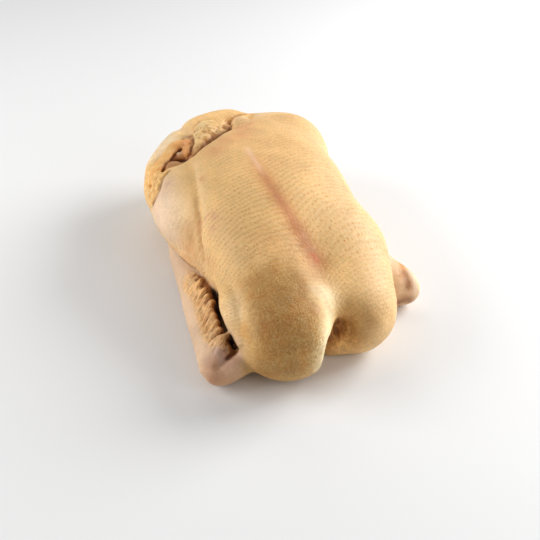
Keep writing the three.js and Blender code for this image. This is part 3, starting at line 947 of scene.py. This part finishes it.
lattice = Wire.node("ShaderNodeCombineXYZ", {}, {0: dots + rows * ROW_OFFSET, 1: rows})
row_off, row_drawn = cells("2D", lattice, 1.0, ROW_DOT_SCATTER)
row_dot = ramp(row_off, *ROW_DOT_RIM) * on_rows * (row_drawn * 0.8 + 0.15)
row_dot = row_dot * (ramp(noise(CLUMP_SIZE), 0.3, 0.6) * 0.4 + 0.6)
loose_off, loose_drawn = cells("3D", place, PER_METRE / LOOSE_DOT_GAP, LOOSE_DOT_SCATTER)
loose_dot = ramp(loose_off, *LOOSE_DOT_RIM) * loose * ramp(loose_drawn, 0.3, 0.9)
ridge = Wire.node("ShaderNodeMath", {"operation": "SINE"}, {0: (rows - ROW_PHASE) * FULL_TURN}) * on_rows
ridge = ridge * (ramp(noise(FADING_SIZE), 0.2, 0.55) * 0.7 + 0.3) * (1 - orange * 0.35 - mottled * 0.65)

pebble_off, _ = cells("3D", place, PER_METRE / PEBBLE_SIZE, 1.0)
pebble = ramp(pebble_off, 0.2, 0.8)
blotches = noise(BLOTCH_SIZE)
mottle = noise(MOTTLE_SIZE)
weave = noise(WEAVE_SIZE, 3.0)
grains = noise(GRAIN_SIZE)
bruises = ramp(grains, 0.58, 0.36) * 0.8 + ramp(loose_off, 0.5, 0.12) * ramp(loose_drawn, 0.0, 0.8) * 0.45
bruises = bruises * (ramp(noise(CLUMP_SIZE), 0.32, 0.62) * 0.6 + 0.4) * mottled
goose = ramp(grains, 0.46, 0.68) * mottled
stretched = {0: wrinkle_across * STRAND_STRETCH[0], 1: wrinkle_along * STRAND_STRETCH[1]}
stretched = Wire.node("ShaderNodeCombineXYZ", {}, stretched)
strands = Wire.node("ShaderNodeTexNoise", {}, {"Vector": stretched, "Scale": 1.0, "Detail": 2.0})
strands = ramp(strands, 0.3, 0.7) * wrinkled

shade = (0.81 + blotches * 0.22 + mottle * 0.14 + weave * 0.06 - pebble * 0.07 + strands * 0.36
         - wrinkled * 0.14 - pebble * wrinkled * 0.12)
toned = Wire.node("ShaderNodeVectorMath", {"operation": "SCALE"}, {0: base, "Scale": shade})
# Painted light on the rows' raised crests and painted shade in their sunken troughs.
toned = mixed(ramp(ridge, -0.3, 0.9) * 0.15, toned, LIT_RAISED_ROW)
toned = mixed(ramp(ridge, 0.1, -0.9) * 0.08, toned, SHADED_SUNKEN_ROW)
toned = mixed(bruises * 0.62, toned, BRUISE)
toned = mixed(goose * 0.16, toned, GOOSE_BUMP)
toned = mixed(row_dot * (orange * 0.2 + 0.55), toned, mixed(orange, LEFT_DOT, RIGHT_DOT))
toned = mixed(loose_dot * 0.55, toned, LOOSE_DOT)
# Painted shade in the hollows between the fat's beads.
toned = mixed(ramp(loose_off, 0.35, 0.65) * beaded * 0.5, toned, SHADE_BETWEEN_FAT_BEADS)
height = (ridge * 0.07 - row_dot * 0.04 - loose_dot * 0.05 + mottle * 0.2 + weave * 0.08 - pebble * 0.1
          + strands * 0.5 + goose * 0.16 - bruises * 0.12
          - pebble * wrinkled * 0.2 - loose_off * loose_off * beaded * 1.4)
gloss = 0.42 + mottle * 0.2 + row_dot * 0.2 + mottled * 0.12 + wrinkled * 0.15
bump = Wire.node("ShaderNodeBump", {}, {"Strength": 1.0, "Distance": MM, "Height": height})
toned.feeds("Base Color")
gloss.feeds("Roughness")
bump.feeds("Normal")
shader.inputs["Specular IOR Level"].default_value = SHEEN
shader.inputs["Subsurface Weight"].default_value = SEE_THROUGH
shader.inputs["Subsurface Radius"].default_value = LIGHT_SPREAD
shader.inputs["Subsurface Scale"].default_value = 3 * MM
bird.data.materials.append(skin)

# The floor: a plain, pale and matt sheet, larger than the picture, which takes the bird's soft
# shadow and throws a little light back under its sides. The bird lies on it.
FLOOR_SIDE = 6
FLOOR_GREY = (0.82, 0.82, 0.82, 1)
FLOOR_ROUGHNESS = 0.7
bpy.ops.object.select_all(action="DESELECT")
bpy.ops.mesh.primitive_plane_add(size=FLOOR_SIDE)
floor = bpy.context.view_layer.objects.active
floor.name = "floor"
pale = bpy.data.materials.new("pale_floor")
pale.use_nodes = True
pale_shader = pale.node_tree.nodes["Principled BSDF"]
pale_shader.inputs["Base Color"].default_value = FLOOR_GREY
pale_shader.inputs["Roughness"].default_value = FLOOR_ROUGHNESS
floor.data.materials.append(pale)

# The studio's light: large soft lamps at both sides, in front and behind, all turned to the
# bird, the right one the strongest, and a pale even light from all around.
BIRD_MIDDLE = Vector((0, 0, 0.04))
ALL_ROUND_LIGHT = 0.27


def soft_light(name, place, size, power):
    """A square lamp of this many metres and watts, turned to the bird."""
    light = bpy.data.lights.new(name, "AREA")
    light.size = size
    light.energy = power
    lamp = bpy.data.objects.new(name, light)
    lamp.location = place
    lamp.rotation_euler = (BIRD_MIDDLE - Vector(place)).to_track_quat("-Z", "Y").to_euler()
    bpy.context.scene.collection.objects.link(lamp)


soft_light("right_light", (1.0, 0.15, 0.6), size=0.7, power=15)
soft_light("left_light", (-1.0, 0.2, 0.5), size=0.7, power=8.2)
soft_light("front_light", (0.8, -1.0, 0.7), size=0.7, power=4)
soft_light("back_light", (0.1, 1.1, 0.9), size=0.8, power=2)
world = bpy.data.worlds.new("studio")
world.use_nodes = True
world.node_tree.nodes["Background"].inputs["Color"].default_value = (1, 1, 1, 1)
world.node_tree.nodes["Background"].inputs["Strength"].default_value = ALL_ROUND_LIGHT
bpy.context.scene.world = world
bpy.context.scene.view_settings.view_transform = "Standard"

# The camera: it stands where the photograph was taken from, in front of the bird's left leg and
# above it, and looks down along the bird. Its place and its three ways were fitted to the photo.
PLACE = (-199.05, -498.35, 380.23)
RIGHT = (0.94197775, -0.33136018, 0.0536502)
DOWN = (-0.15194774, -0.56343235, -0.81206889)
AHEAD = (0.29931555, 0.7567988, -0.58109017)
SENSOR_WIDTH = 36
LENS = 54.32
camera = bpy.data.objects.new("camera", bpy.data.cameras.new("camera"))
bpy.context.scene.collection.objects.link(camera)
aim = Matrix((RIGHT, -Vector(DOWN), -Vector(AHEAD))).transposed().to_4x4()
camera.matrix_world = Matrix.Translation(Vector(PLACE) * MM) @ aim
camera.data.sensor_width = SENSOR_WIDTH
camera.data.lens = LENS
camera.data.clip_start = 10 * MM
bpy.context.scene.camera = camera
